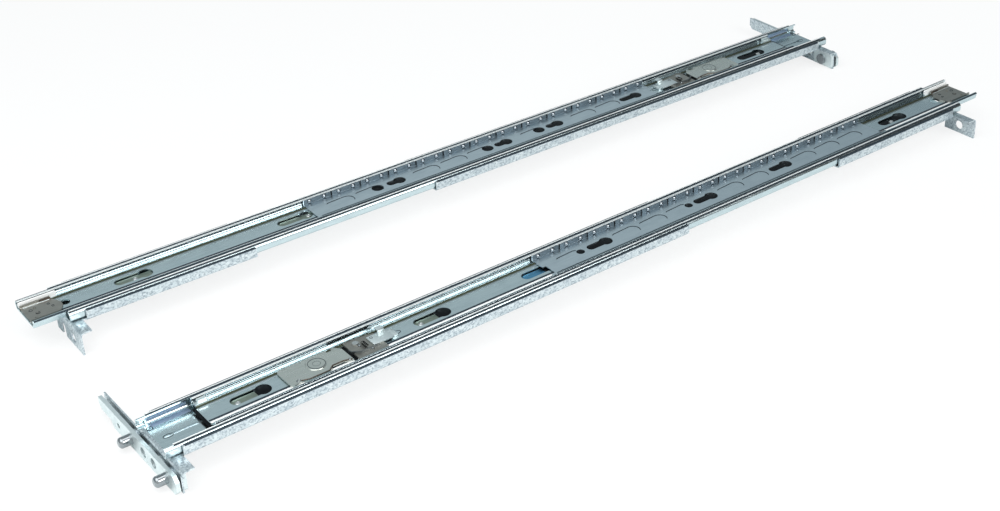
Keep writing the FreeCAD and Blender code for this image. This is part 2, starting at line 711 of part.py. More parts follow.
def make_latch_rivet():
    x = latch_base_front + 6
    z0 = middle_floor + latch_sheet
    shank = upright(x, latch_rivet_y, middle_floor, z0, rivet_d * 0.6)
    head = upright(x, latch_rivet_y, z0, z0 + rivet_head_height * 0.8, rivet_d)
    return fuse_all([shank, head])


def make_rear_stop():
    """A dark folded plate in the open rear end, with low walls and three pips."""
    mid = middle_floor + latch_sheet / 2
    top = middle_floor + stop_wall_height
    fold = folded_strip([(stop_near, top), (stop_near, mid), (stop_far, mid), (stop_far, top)],
                        [0.9, 0.9], latch_sheet, lambda y, z: vec(stop_front, y, z),
                        vec(stop_rear - stop_front, 0, 0))
    pip_x = stop_rear - 7.5
    floor_top = middle_floor + latch_sheet
    pips = [upright(pip_x + dx, dy, floor_top - 0.2, floor_top + 0.5, 1.6)
            for dx, dy in ((0, 5.5), (0.5, -1.5), (3.0, -5.8))]
    nose = [flat_piece([(stop_front - 0.1, s * 2.0 + 0.75), (stop_front + 4, s * 9.0 + 0.75),
                        (stop_front + 4, s * 12 + 0.75), (stop_front - 0.1, s * 12 + 0.75)],
                       middle_floor - 1, middle_floor + stop_wall_height + 1) for s in (-1, 1)]
    return fuse_all([fold] + pips).cut(fuse_compound(nose))


def make_rear_buffer():
    """A pale moulded strip that lines the far wall at the rear end."""
    y1 = middle_waist - buffer_inset
    strip = box(stop_front - 1, middle_rear - 0.5, y1 - buffer_thickness, y1,
                middle_floor, middle_rim - 0.8)
    ends = [e for e in strip.Edges if abs(e.Vertexes[0].Point.y - e.Vertexes[-1].Point.y) > 0.5]
    return strip.makeFillet(0.8, ends)


def make_front_bumper():
    """A stepped end block that closes the far raceway at the front of the member."""
    y1 = middle_waist - buffer_inset
    x0 = middle_front + 0.6
    step_z = middle_floor + bumper_step
    foot = box(x0, x0 + bumper_length, y1 - 3.2, y1, middle_floor, step_z)
    block = box(x0 + 1.5, x0 + bumper_length, y1 - 2.4, y1, step_z - 0.1, middle_rim - 0.9)
    edges = [e for e in block.Edges if e.BoundBox.ZMax > step_z + 0.5 and e.BoundBox.XLength < 0.1]
    return fuse_all([foot, block.makeChamfer(0.5, edges)])


def rail_nodes(first_ball, cage_keys, cage_holes, eye_at_rear):
    return {
        "pin_plate": make_pin_plate(),
        "mounting_pins": make_mounting_pins(),
        "pin_keeper": make_pin_keeper(),
        "front_bracket": make_front_bracket(),
        "rear_bracket": make_rear_bracket(),
        "cabinet_member": make_cabinet_member(),
        "bracket_rivets": make_bracket_rivets(),
        "adjusting_screws": make_adjusting_screws(),
        "adjusting_nuts": make_adjusting_nuts(),
        "outer_ball_cage": make_outer_cage(),
        "outer_balls": make_outer_balls(),
        "intermediate_member": make_intermediate_member(eye_at_rear),
        "inner_ball_cage": make_inner_cage(first_ball, cage_keys, cage_holes, eye_at_rear),
        "inner_balls": make_inner_balls(first_ball),
        "latch_lever": make_latch_lever(),
        "latch_pivot": make_latch_pivot(),
        "latch_base": make_latch_base(),
        "latch_block": make_latch_block(),
        "latch_spring": make_latch_spring(),
        "latch_rivet": make_latch_rivet(),
        "rear_stop": make_rear_stop(),
        "rear_buffer": make_rear_buffer(),
        "front_bumper": make_front_bumper(),
    }


def to_second_rail(shape):
    """The opposite-hand rail: mirrored end to end, turned a little and set beside."""
    other = shape.mirror(vec(0, 0, 0), vec(1, 0, 0))
    other.rotate(vec(0, 0, 0), vec(0, 0, 1), second_rail_yaw)
    other.translate(vec(second_rail_x, second_rail_y, 0))
    return other


nodes = {}
for name, shape in rail_nodes(first_ball_a, cage_keys_a, cage_holes_a, True).items():
    nodes["a_" + name] = shape
for name, shape in rail_nodes(first_ball_b, cage_keys_b, cage_holes_b, False).items():
    nodes["b_" + name] = to_second_rail(shape)

# The row's origin is the middle of the pair's footprint, on the surface it lies on
whole = Part.makeCompound(list(nodes.values())).BoundBox
to_origin = vec(-whole.Center.x, -whole.Center.y, -whole.ZMin)
os.makedirs("parts", exist_ok=True)
for name, shape in nodes.items():
    shape.translate(to_origin)
    shape.exportStep("parts/" + name + ".step")
print("row origin in the rail frame", [round(-v, 3) for v in to_origin])
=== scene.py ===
import json
import math

import bpy
from mathutils import Matrix, Vector


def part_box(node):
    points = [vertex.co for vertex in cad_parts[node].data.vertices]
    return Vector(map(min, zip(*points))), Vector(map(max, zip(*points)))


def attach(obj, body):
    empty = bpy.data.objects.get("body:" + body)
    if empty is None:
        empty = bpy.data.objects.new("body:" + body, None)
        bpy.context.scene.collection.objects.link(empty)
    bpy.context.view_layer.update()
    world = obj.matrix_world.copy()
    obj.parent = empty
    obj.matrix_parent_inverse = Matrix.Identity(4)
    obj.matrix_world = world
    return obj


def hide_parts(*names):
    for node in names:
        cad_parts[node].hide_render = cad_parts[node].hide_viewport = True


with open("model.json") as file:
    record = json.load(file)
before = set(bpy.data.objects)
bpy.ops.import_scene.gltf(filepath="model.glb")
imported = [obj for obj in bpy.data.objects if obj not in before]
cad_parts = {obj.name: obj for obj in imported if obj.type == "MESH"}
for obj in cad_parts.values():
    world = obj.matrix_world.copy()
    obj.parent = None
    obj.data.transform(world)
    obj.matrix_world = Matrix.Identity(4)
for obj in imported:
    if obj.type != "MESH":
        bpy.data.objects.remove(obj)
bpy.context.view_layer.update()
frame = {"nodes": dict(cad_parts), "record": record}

# Rail frame in millimetres, as in the part's source: X from the front plate's face to the
# rear, Y across towards the far side, Z up from the surface that the rails lie on. The
# second rail is the first one mirrored, turned by its yaw in degrees and set beside it.
MM = 0.001
PLATE_NEAR_END = -31.5
SECOND_RAIL_X = 662.2
SECOND_RAIL_Y = 148.6
SECOND_RAIL_YAW = -1.232
plate_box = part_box("a_pin_plate")
ORIGIN = Vector((plate_box[0][0] / MM, plate_box[0][1] / MM - PLATE_NEAR_END, 0))

# Levels of the sheets' faces, from the part's source
BRACKET_TOP = 16.0
CABINET_TOP = 16.9
MIDDLE_TOP = 19.5
CAGE_BOTTOM = 19.8
CAGE_TOP = 20.4
BASE_TOP = 20.5
LEVER_TOP = 20.8


def placed(rail):
    """The matrix from a rail's own millimetres to metres in the row's frame."""
    into_row = Matrix.Scale(MM, 4) @ Matrix.Translation(ORIGIN)
    if rail == "a":
        return into_row
    beside = Matrix.Translation((SECOND_RAIL_X, SECOND_RAIL_Y, 0))
    turned = Matrix.Rotation(math.radians(SECOND_RAIL_YAW), 4, "Z")
    mirrored = Matrix.Scale(-1, 4, (1, 0, 0))
    return into_row @ (beside @ turned) @ mirrored


# Colours and materials

# How big the marks on each finish are, in millimetres along, across and up
ROLLING_LINES = (60.0, 0.5, 0.5)
PLATING_CLOUDS = (14.0, 6.0, 6.0)
ZINC_SPECKS = (1.7, 1.2, 1.2)
TOOL_MARKS = (2.0, 0.4, 0.4)
MOULD_GRAIN = (0.4, 0.4, 0.4)
ZINC_CRYSTAL = 3.03

# How deep the marks are that can be felt, in millimetres
ROLLING_DEPTH = 0.05
SPECK_DEPTH = 0.06


def srgb(code):
    """A colour written as six hex digits, turned linear."""
    parts = [int(code[i:i + 2], 16) / 255 for i in (0, 2, 4)]
    return [p / 12.92 if p < 0.04045 else ((p + 0.055) / 1.055) ** 2.4 for p in parts] + [1.0]


def add(tree, kind, sockets=None, **settings):
    """One node with its settings, and with numbers, colours or links on its sockets."""
    node = tree.nodes.new("ShaderNode" + kind)
    for key, value in settings.items():
        setattr(node, key, value)
    for key, value in (sockets or {}).items():
        if isinstance(value, bpy.types.NodeSocket):
            tree.links.new(value, node.inputs[key])
        else:
            node.inputs[key].default_value = srgb(value) if isinstance(value, str) else value
    return node


def new_material(name, color, rough, metallic):
    mat = bpy.data.materials.new(name)
    mat.use_nodes = True
    shader = mat.node_tree.nodes["Principled BSDF"]
    shader.inputs["Base Color"].default_value = srgb(color)
    shader.inputs["Roughness"].default_value = rough
    shader.inputs["Metallic"].default_value = metallic
    return mat, mat.node_tree, shader


def pattern(tree, size, detail=3.0, rough=0.5):
    """Noise whose marks are size millimetres long along each axis."""
    place = add(tree, "TexCoord")
    scaled = add(tree, "Mapping", {"Vector": place.outputs["Object"],
                                   "Scale": [1 / (s * MM) for s in size]})
    marks = add(tree, "TexNoise", {"Vector": scaled.outputs["Vector"], "Scale": 1.0,
                                   "Detail": detail, "Roughness": rough})
    return marks.outputs["Fac"]


def rolled_steel(name, light, dark, rough):
    """Cold-rolled strip with bright zinc plate: smooth and glossy, with hair-fine rolling
    lines and faint clouds where the plating is thicker. The lines are drawn half a
    millimetre wide, coarser than the real ones, so that they show at all."""
    mat, tree, shader = new_material(name, light, rough, 1.0)
    lines = pattern(tree, ROLLING_LINES, 4.0)
    clouds = pattern(tree, PLATING_CLOUDS, 3.0, 0.6)
    lined = add(tree, "MapRange", {"Value": lines, "From Min": 0.35, "From Max": 0.7,
                                   "To Max": 0.45})
    clouded = add(tree, "MapRange", {"Value": clouds, "From Min": 0.45, "From Max": 0.75,
                                     "To Max": 0.5})
    first = add(tree, "Mix", {0: lined.outputs[0], 6: light, 7: dark}, data_type="RGBA")
    second = add(tree, "Mix", {0: clouded.outputs[0], 6: first.outputs[2], 7: dark},
                 data_type="RGBA")
    tree.links.new(second.outputs[2], shader.inputs["Base Color"])
    spread = add(tree, "MapRange", {"Value": clouds, "From Min": 0.3, "From Max": 0.7,
                                    "To Min": rough - 0.03, "To Max": rough + 0.04})
    tree.links.new(spread.outputs[0], shader.inputs["Roughness"])
    relief = add(tree, "Bump", {"Height": lines, "Strength": 0.02,
                                "Distance": ROLLING_DEPTH * MM})
    tree.links.new(relief.outputs[0], shader.inputs["Normal"])
    return mat


def galvanised_sheet():
    """Hot-dip galvanised sheet: frosty pale zinc crystals 3 mm across, with grey specks
    where the zinc has dulled."""
    mat, tree, shader = new_material("galvanised sheet", "D4DCE0", 0.4, 1.0)
    place = add(tree, "TexCoord")
    crystals = add(tree, "TexVoronoi", {"Vector": place.outputs["Object"],
                                        "Scale": 1 / (ZINC_CRYSTAL * MM)})
    tone = add(tree, "Mix", {0: crystals.outputs["Color"], 6: "E0E7E9", 7: "C3CDD2"},
               data_type="RGBA")
    specks = pattern(tree, ZINC_SPECKS, 5.0, 0.7)
    spotted = add(tree, "MapRange", {"Value": specks, "From Min": 0.48, "From Max": 0.62,
                                     "To Max": 0.85})
    color = add(tree, "Mix", {0: spotted.outputs[0], 6: tone.outputs[2], 7: "8C99A3"},
                data_type="RGBA")
    tree.links.new(color.outputs[2], shader.inputs["Base Color"])
    spread = add(tree, "MapRange", {"Value": specks, "From Min": 0.3, "From Max": 0.7,
                                    "To Min": 0.32, "To Max": 0.5})
    tree.links.new(spread.outputs[0], shader.inputs["Roughness"])
    relief = add(tree, "Bump", {"Height": specks, "Strength": 0.12,
                                "Distance": SPECK_DEPTH * MM})
    tree.links.new(relief.outputs[0], shader.inputs["Normal"])
    return mat


def bare_steel(name, color, rough):
    """Turned or ground steel: bright, with fine tool marks that change its gloss."""
    mat, tree, shader = new_material(name, color, rough, 1.0)
    marks = pattern(tree, TOOL_MARKS, 4.0, 0.6)
    spread = add(tree, "MapRange", {"Value": marks, "From Min": 0.3, "From Max": 0.7,
                                    "To Min": rough * 0.7, "To Max": rough * 1.5})
    tree.links.new(spread.outputs[0], shader.inputs["Roughness"])
    return mat


def moulded_plastic():
    """Pale moulded acetal: even, slightly glossy, with a faint grain from the mould."""
    mat, tree, shader = new_material("pale moulded plastic", "F4F5F3", 0.42, 0.0)
    grain = pattern(tree, MOULD_GRAIN)
    color = add(tree, "Mix", {0: grain, 6: "F8F8F6", 7: "E6E8E8"}, data_type="RGBA")
    tree.links.new(color.outputs[2], shader.inputs["Base Color"])
    return mat


# Each slot of the part. The slides mirror the studio with a soft blur, the cage is a little
# bluer and duller, the front plates are pale and matt, the pins and the balls are turned and
# ground bright, and the latch's plates have a thinner, browner plating.
MATERIALS = {
    "zinc_plate": rolled_steel("pale zinc plate", "E4ECEC", "CBD6D9", 0.42),
    "polished_steel": bare_steel("turned polished steel", "94999C", 0.13),
    "galvanised_sheet": galvanised_sheet(),
    "slide_steel": rolled_steel("bright zinc slide steel", "CBD9DC", "B4C4C9", 0.22),
    "fastener_steel": bare_steel("zinc fastener steel", "C2C6C6", 0.3),
    "cage_steel": rolled_steel("blue-grey cage steel", "CAD6DC", "B0BEC6", 0.32),
    "ball_steel": bare_steel("bearing steel", "A7ADB2", 0.1),
    "latch_steel": rolled_steel("brown-grey latch steel", "A09F99", "888680", 0.4),
    "lever_steel": rolled_steel("light latch lever steel", "CFD3CD", "B9BDB8", 0.28),
    "spring_steel": bare_steel("bare spring steel", "7F8486", 0.35),
    "buffer_plastic": moulded_plastic(),
}

# The same rolled steel with light and shade painted into its colour: painted shade, dark and
# dull, in folds, pressings, gaps and under openings; painted highlights, pale and dull, on rims;
# greenish painted shade on keyhole floors; a painted blue-grey reflection at the front. The
# black one is also the latch coil's own colour, and one keyhole floor is plain blue.
# Painted shade: dark lines for the shade in grooves and pressings and round the balls
CREASE_SHADE = rolled_steel("painted shade in a pressed crease", "39424A", "262D33", 0.4)
# Painted shadow in gaps, slits, keyhole eyes, under the cage's openings and under the front edge;
# also the latch coil's own black
BLACK_AND_SHADOW = rolled_steel("painted shadow and black steel", "1E2124", "121416", 0.5)
# Painted shade: a darker and rougher copy of the cage steel for its flanges' inner faces
DULL_SHADE = rolled_steel("dull inner face of the cage in painted shade", "7B8890", "6D7A83", 0.6)
SHADED = rolled_steel("shaded rolled edge", "48535C", "38424A", 0.6)
# Painted shade, olive-tinted, along the foot of the sliding member's far wall
OLIVE_SHADE = rolled_steel("olive painted shade at a wall's foot", "5F6452", "4C5142", 0.6)
# Painted shade: greenish floors set just under the keyhole slots
GREEN_FLOOR_SHADE = rolled_steel("greenish keyhole floor in painted shade", "98A295", "7F897E", 0.35)
# A blue floor set just under one keyhole
BLUE_KEY_FLOOR = rolled_steel("blue keyhole floor", "5E9CC0", "4C86A8", 0.35)
# Painted blue-grey reflection on the far wall and the floor at the front end
BLUE_GREY_REFLECTION = rolled_steel("painted blue-grey reflection on steel", "9DAFC4", "8799B0", 0.6)
# Painted shade: a darker, duller band along the web's edge before the far wall
WEB_EDGE_SHADE = rolled_steel("edge of the web in painted shade", "A9B6BA", "98A5AA", 0.5)
# Painted highlight: pale lines along the rims of the rolled sheets
RIM_HIGHLIGHT = rolled_steel("painted highlight on a rim", "EEF2F2", "DCE2E3", 0.65)
# Brown painted shadow along the lever's near edge and the stop plate's edges
BROWN_SHADOW = rolled_steel("brown painted shadow on an edge", "6E625A", "564A43", 0.35)


def dress(obj, material):
    obj.data.materials.clear()
    obj.data.materials.append(material)


for part in frame["record"]["subparts"]:
    dress(frame["nodes"][part["node"]], MATERIALS[part["material_slot"]])


# Ways of making a piece, in the rail's millimetres

SMOOTH_ANGLE = math.radians(40)

# A riveted head's drum and crown as shares of its height, and its rings as shares of its width
HEAD_DRUM = 0.6
HEAD_CROWN = 0.4
HEAD_RING = 0.12
HEAD_DISH_RING = 0.05


def alone(piece):
    bpy.ops.object.select_all(action="DESELECT")
    piece.select_set(True)
    bpy.context.view_layer.objects.active = piece


def joined(pieces):
    alone(pieces[0])
    for piece in pieces[1:]:
        piece.select_set(True)
    bpy.ops.object.join()
    return bpy.context.object


def copied(piece, places):
    """Copies of one piece at several places, each with its own mesh, joined."""
    twins = []
    for place in places:
        twin = bpy.data.objects.new(piece.name, piece.data.copy())
        twin.data.transform(Matrix.Translation(place))
        bpy.context.scene.collection.objects.link(twin)
        twins.append(twin)
    bpy.data.objects.remove(piece)
    return joined(twins)


def block(run, sides, levels, edge):
    """A block with rounded edges: where it starts and ends along the rail, across and up."""
    spans = (run, sides, levels)
    bpy.ops.object.select_all(action="DESELECT")
    bpy.ops.mesh.primitive_cube_add(size=1, location=[(low + high) / 2 for low, high in spans])
    piece = bpy.context.object
    piece.scale = [high - low for low, high in spans]
    bpy.ops.object.transform_apply(location=True, rotation=True, scale=True)
    bpy.ops.object.mode_set(mode="EDIT")
    bpy.ops.mesh.select_all(action="SELECT")
    bpy.ops.mesh.bevel(offset=edge, segments=2, affect="EDGES")
    bpy.ops.object.mode_set(mode="OBJECT")
    return piece


def pick_faces(piece, wanted):
    """Goes into edit mode with only the faces that pass the test selected."""
    alone(piece)
    bpy.ops.object.mode_set(mode="EDIT")
    bpy.ops.mesh.select_mode(type="FACE")
    bpy.ops.mesh.select_all(action="DESELECT")
    bpy.ops.object.mode_set(mode="OBJECT")
    for face in piece.data.polygons:
        face.select = wanted(face)
    bpy.ops.object.mode_set(mode="EDIT")


def round_head(x, y, z, across, height, dish=0.0):
    """A riveted head: a drum whose top is drawn in and raised, then dished."""
    bpy.ops.object.select_all(action="DESELECT")
    bpy.ops.mesh.primitive_cylinder_add(vertices=24, radius=across / 2, depth=height * HEAD_DRUM,
                                        location=(x, y, z + height * HEAD_DRUM / 2))
    piece = bpy.context.object
    bpy.ops.object.transform_apply(location=True, rotation=True, scale=True)
    pick_faces(piece, lambda face: face.normal.z > 0.9)
    bpy.ops.mesh.inset(thickness=across * HEAD_RING)
    bpy.ops.transform.translate(value=(0, 0, height * HEAD_CROWN))
    bpy.ops.mesh.inset(thickness=across * HEAD_RING)
    bpy.ops.mesh.inset(thickness=across * HEAD_DISH_RING)
    bpy.ops.transform.translate(value=(0, 0, -dish))
    bpy.ops.object.mode_set(mode="OBJECT")
    return piece


def wire(points, thickness, closed=False):
    """Round wire along some points."""
    line = bpy.data.curves.new("wire", "CURVE")
    line.dimensions = "3D"
    spline = line.splines.new("POLY")
    spline.points.add(len(points) - 1)
    for spot, point in zip(spline.points, points):
        spot.co = (*point, 1)
    spline.use_cyclic_u = closed
    line.bevel_depth = thickness / 2
    line.bevel_resolution = 2
    line.use_fill_caps = not closed
    piece = bpy.data.objects.new("wire", line)
    bpy.context.scene.collection.objects.link(piece)
    alone(piece)
    bpy.ops.object.convert(target="MESH")
    return bpy.context.object


def arc(x, y, z, radius, start, end, steps=10, stretch=1.0):
    """Points along an arc, its angles in degrees, its X half-width stretched."""
    turns = [math.radians(start + (end - start) * i / steps) for i in range(steps + 1)]
    return [(x + stretch * radius * math.cos(t), y + radius * math.sin(t), z) for t in turns]


def ring(x, y, z, radius, thickness, stretch=1.0):
    """A closed ring of wire that lies flat, the last of its 24 sides closing it."""
    return wire(arc(x, y, z, radius, 0, 345, 23, stretch), thickness, closed=True)


def strip(run, sides, z, thick=0.06):
    """A long thin line along the rail: a band of painted light or shade on a sheet."""
    return block(run, sides, (z, z + thick), 0.02)


def bead(run, place, thick):
    """A long round line along the rail, at a place across it: painted highlights and shade on the
    rims of rolled sheets, and a fold.
    """
    return wire([(x, *place) for x in run], thick)


def finish(piece, name, rail, body, slot, material=None):
    """Puts a piece into the row, with its place in its mesh, and onto its body."""
    alone(piece)
    bpy.ops.object.transform_apply(location=True, rotation=True, scale=True)
    piece.name = rail + "_" + name
    piece.data.name = piece.name
    piece.data.transform(placed(rail))
    bpy.ops.object.mode_set(mode="EDIT")
    bpy.ops.mesh.select_all(action="SELECT")
    bpy.ops.mesh.normals_make_consistent(inside=False)
    bpy.ops.object.mode_set(mode="OBJECT")
    bpy.ops.object.shade_smooth_by_angle(angle=SMOOTH_ANGLE)
    dress(piece, material or MATERIALS[slot])
    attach(piece, body)


# The ball cage

BALL_D = 2.8
BALL_PITCH = 11.49
BALLS_PER_SIDE = 26
INNER_BALL_Y = 12.9
INNER_BALL_Z = 22.05
FIRST_BALL = {"a": 278.2, "b": 171.0}
POCKET_CLEARANCE = 0.05
POCKET_LIP = 0.26
CAGE_SHEET = 0.6
CAGE_MARGIN = 4.8
CAGE_FACE = INNER_BALL_Y - CAGE_SHEET / 2
FLANGE_TOP = 23.6
FACING = 0.06
FACING_FOOT = 0.05
FACING_SETBACK = 0.5
SLIT_HALF_WIDTH = 0.55
SLIT_DEPTH = 3.1
SLIT_SHADOW = 0.1


def ball_places(rail, y):
    return [(FIRST_BALL[rail] + i * BALL_PITCH, y * side, INNER_BALL_Z)
            for i in range(BALLS_PER_SIDE) for side in (-1, 1)]


def add_balls(rail):
    """Round polished balls in place of the part's flat-sided ones."""
    bpy.ops.object.select_all(action="DESELECT")
    bpy.ops.mesh.primitive_ico_sphere_add(subdivisions=3, radius=BALL_D / 2)
    balls = copied(bpy.context.object, ball_places(rail, INNER_BALL_Y))
    finish(balls, "round_balls", rail, rail + "_inner_cage", "ball_steel")
    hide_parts(rail + "_inner_balls")


def add_pocket_lips(rail):
    """The turned lips that hold the balls in the cage's upright flanges, dark with painted shade
    round each ball.
    """
    bpy.ops.object.select_all(action="DESELECT")
    bpy.ops.mesh.primitive_torus_add(major_radius=BALL_D / 2 + POCKET_CLEARANCE,
                                     minor_radius=POCKET_LIP,
                                     major_segments=16, minor_segments=6,
                                     rotation=(math.radians(90), 0, 0))
    bpy.ops.object.transform_apply(location=True, rotation=True, scale=True)
    lips = copied(bpy.context.object, ball_places(rail, CAGE_FACE))
    finish(lips, "ball_pocket_lips", rail, rail + "_inner_cage", "cage_steel", CREASE_SHADE)


def add_facings(rail):
    """The dull inner faces of the cage's upright flanges, darker as painted shade, and painted
    shadow in their slits.
    """
    cage = rail + "_inner_cage"
    start = FIRST_BALL[rail] - CAGE_MARGIN
    end = FIRST_BALL[rail] + (BALLS_PER_SIDE - 1) * BALL_PITCH + CAGE_MARGIN
    slits = [FIRST_BALL[rail] + (i + 0.5) * BALL_PITCH for i in range(1, BALLS_PER_SIDE - 1, 2)]
    edges = [start] + slits + [end]
    runs = [(x0 + FACING_SETBACK, x1 - FACING_SETBACK) for x0, x1 in zip(edges, edges[1:])]
    upright = (CAGE_TOP + FACING_FOOT, FLANGE_TOP + FACING)
    faces = [block(run, (y - FACING, y + FACING), upright, 0.03)
             for run in runs for y in (-CAGE_FACE, CAGE_FACE)]
    rims = ((CAGE_FACE, CAGE_FACE + CAGE_SHEET), (-CAGE_FACE - CAGE_SHEET, -CAGE_FACE))
    faces += [strip(run, rim, FLANGE_TOP, FACING) for run in runs for rim in rims]
    finish(joined(faces), "cage_flange_faces", rail, cage, "cage_steel", DULL_SHADE)
    gaps = [block((x - SLIT_HALF_WIDTH, x + SLIT_HALF_WIDTH), (y - SLIT_SHADOW, y + SLIT_SHADOW),
                  (CAGE_TOP, CAGE_TOP + SLIT_DEPTH), 0.03)
            for x in slits for y in (-CAGE_FACE, CAGE_FACE)]
    finish(joined(gaps), "cage_slit_shadows", rail, cage, "cage_steel", BLACK_AND_SHADOW)


# Outlines pressed into the cage's web: where they start, which way they run, and their
# points' X and Y from there
OUTLINE_STARTS = {"a": (332.3, 355.3, 424.3, 447.3, 493.3, 516.3, 539.3),
                  "b": (449.7, 426.7, 380.2, 357.1, 241.7, 218.8)}
SHORT_OUTLINE_STARTS = {"a": (286.3, 378.3), "b": (334.2, 287.5)}
OUTLINE_RUN = {"a": 1, "b": -1}
OUTLINE_LINE = 0.55
OUTLINE_FOOT = [(0, 4.0), (1.2, 4.5)]
SHORT_TAIL = [(14.0, 5.2), (16.0, 4.4)]
ROUND_END = (14.2, 0.3)
ROUND_END_RADIUS = 5.0


def add_outlines(rail):
    """D-shaped outlines with a straight run and a round end, and short straight ones, drawn in
    painted shade.
    """
    bend = [(x, y) for x, y, z in arc(*ROUND_END, CAGE_TOP, ROUND_END_RADIUS, 90, -35)]
    paths = [(start, OUTLINE_FOOT + bend) for start in OUTLINE_STARTS[rail]]
    paths += [(start, OUTLINE_FOOT + SHORT_TAIL) for start in SHORT_OUTLINE_STARTS[rail]]
    lines = [wire([(start + OUTLINE_RUN[rail] * x, y, CAGE_TOP) for x, y in path], OUTLINE_LINE)
             for start, path in paths]
    finish(joined(lines), "cage_pressed_outlines", rail, rail + "_inner_cage", "cage_steel",
           CREASE_SHADE)


# The latch. A pair called a place is X and Y, one called a run is X from front to rear, and
# one called sides is Y from near to far.

BOSS_PLACE = (108.5, 1.5)
BOSS_TOP = LEVER_TOP + 0.4
BOSS_RIM_RADIUS = 5.2
BOSS_EYE_RADIUS = 2.4
BOSS_EYE_SUNK = 0.02
LEVER_EDGE = ((93.3, -7.4), (98, -9.0), (111, -9.0), (115, -5.8), (122, -5.8), (127.4, -7.4))
CURL_PLACE = (92.0, -6.6)
CURL_RADIUS = 1.2
DOT_PLACE = (126.0, -6.6)
GAP_RUN = (128.25, 130.85)
GAP_SIDES = (-8.6, 8.4)
GAP_HEIGHT = 0.22
COIL_START = (140.2, -3.0, BASE_TOP + 1.3)
COIL_RADIUS = 1.1
COIL_PITCH = 1.4
COIL_TURNS = 4
COIL_STEPS = 48
FINGER_TOP = BASE_TOP + 0.9
FINGER_RUN = (144.6, 159.0)
FINGER_SIDES = (-3.8, 5.7)
TONGUE_TOP = BASE_TOP + 0.4
TONGUE_RUN = (158.0, 162.3)
TONGUE_SIDES = (-2.6, 4.6)
ARM_TOP = BASE_TOP + 2.8
ARM_SHEET = 0.6
ARM_RUN = (152.6, 157.2)
ARM_SIDES = (5.0, 9.4)
ARM_FOOT_SIDES = (4.7, 5.7)
FINGER_MARK_PLACE = (147.0, 3.4)
TONGUE_MARK_PLACE = (163.4, 0.8)
NEAR_HEAD_PLACE = (142.4, -5.2)
FAR_HEAD_PLACE = (137.6, 1.6)


def add_lever_details(rail):
    """Two grooves round the boss in painted shade, a brown painted shadow along the lever's near
    edge, and the curled eye at its front.
    """
    latch = rail + "_latch"
    grooves = joined([ring(*BOSS_PLACE, BOSS_TOP, BOSS_RIM_RADIUS, 0.35),
                      ring(*BOSS_PLACE, BOSS_TOP - BOSS_EYE_SUNK, BOSS_EYE_RADIUS, 0.2)])
    finish(grooves, "lever_boss_grooves", rail, latch, "lever_steel", CREASE_SHADE)
    edge = wire([(x, y, LEVER_TOP) for x, y in LEVER_EDGE], 1.0)
    finish(edge, "lever_edge_shadow", rail, latch, "latch_steel", BROWN_SHADOW)
    curl = wire(arc(*CURL_PLACE, LEVER_TOP, CURL_RADIUS, -60, 240, 14), 0.7)
    dot = round_head(*DOT_PLACE, LEVER_TOP - 0.1, 1.8, 0.6)
    finish(joined([curl, dot]), "lever_curl", rail, latch, "polished_steel")


def add_latch_spring(rail):
    """A black strip of painted shadow in the gap between lever and base, and the small coil that
    lies across the base.
    """
    slide = rail + "_slide"
    gap = block(GAP_RUN, GAP_SIDES, (MIDDLE_TOP, MIDDLE_TOP + GAP_HEIGHT), 0.08)
    finish(gap, "latch_gap_shadow", rail, slide, "spring_steel", BLACK_AND_SHADOW)
    x, y, z = COIL_START
    turns = [COIL_TURNS * i / COIL_STEPS for i in range(COIL_STEPS + 1)]
    coil = wire([(x + COIL_RADIUS * math.cos(math.tau * t), y + COIL_PITCH * t,
                  z + COIL_RADIUS * math.sin(math.tau * t)) for t in turns], 0.45)
    finish(coil, "latch_coil", rail, slide, "spring_steel", BLACK_AND_SHADOW)


def add_finger_plate(rail):
    """The plate with a tongue and a bent arm in place of the part's block, and its marks drawn in
    painted shade.
    """
    slide = rail + "_slide"
    plate = joined([block(FINGER_RUN, FINGER_SIDES, (BASE_TOP, FINGER_TOP), 0.25),
                    block(TONGUE_RUN, TONGUE_SIDES, (MIDDLE_TOP, TONGUE_TOP), 0.25),
                    block(ARM_RUN, ARM_FOOT_SIDES, (BASE_TOP + 0.5, ARM_TOP), 0.2),
                    block(ARM_RUN, ARM_SIDES, (ARM_TOP - ARM_SHEET, ARM_TOP), 0.2)])
    finish(plate, "latch_finger_plate", rail, slide, "zinc_plate")
    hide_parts(rail + "_latch_block")
    marks = joined([ring(*FINGER_MARK_PLACE, FINGER_TOP, 0.9, 0.3),
                    ring(*TONGUE_MARK_PLACE, MIDDLE_TOP, 1.5, 0.4, 1.6)])
    finish(marks, "latch_plate_marks", rail, slide, "zinc_plate", CREASE_SHADE)
    heads = joined([round_head(*FAR_HEAD_PLACE, BASE_TOP, 2.0, 0.8),
                    round_head(*NEAR_HEAD_PLACE, BASE_TOP, 2.2, 0.9, 0.15)])
    finish(heads, "latch_small_heads", rail, slide, "polished_steel")


# Lines of painted shade and painted highlight along the rolled edges, from the near side to the
# far side. A bead's or a crease's place is Y and Z, and the others are a strip's sides.

SLIDE_RUN = (35.0, 665.0)
FIXED_RUN = (8.0, 643.5)
CHANNEL_RUNS = ((13.0, 376.0), (516.5, 633.5))
DARK_LINE_RUN = (123.0, 151.0)
RIM_TOP = 23.9
LIP_TOP = 23.0
CHANNEL_TOP = 22.3

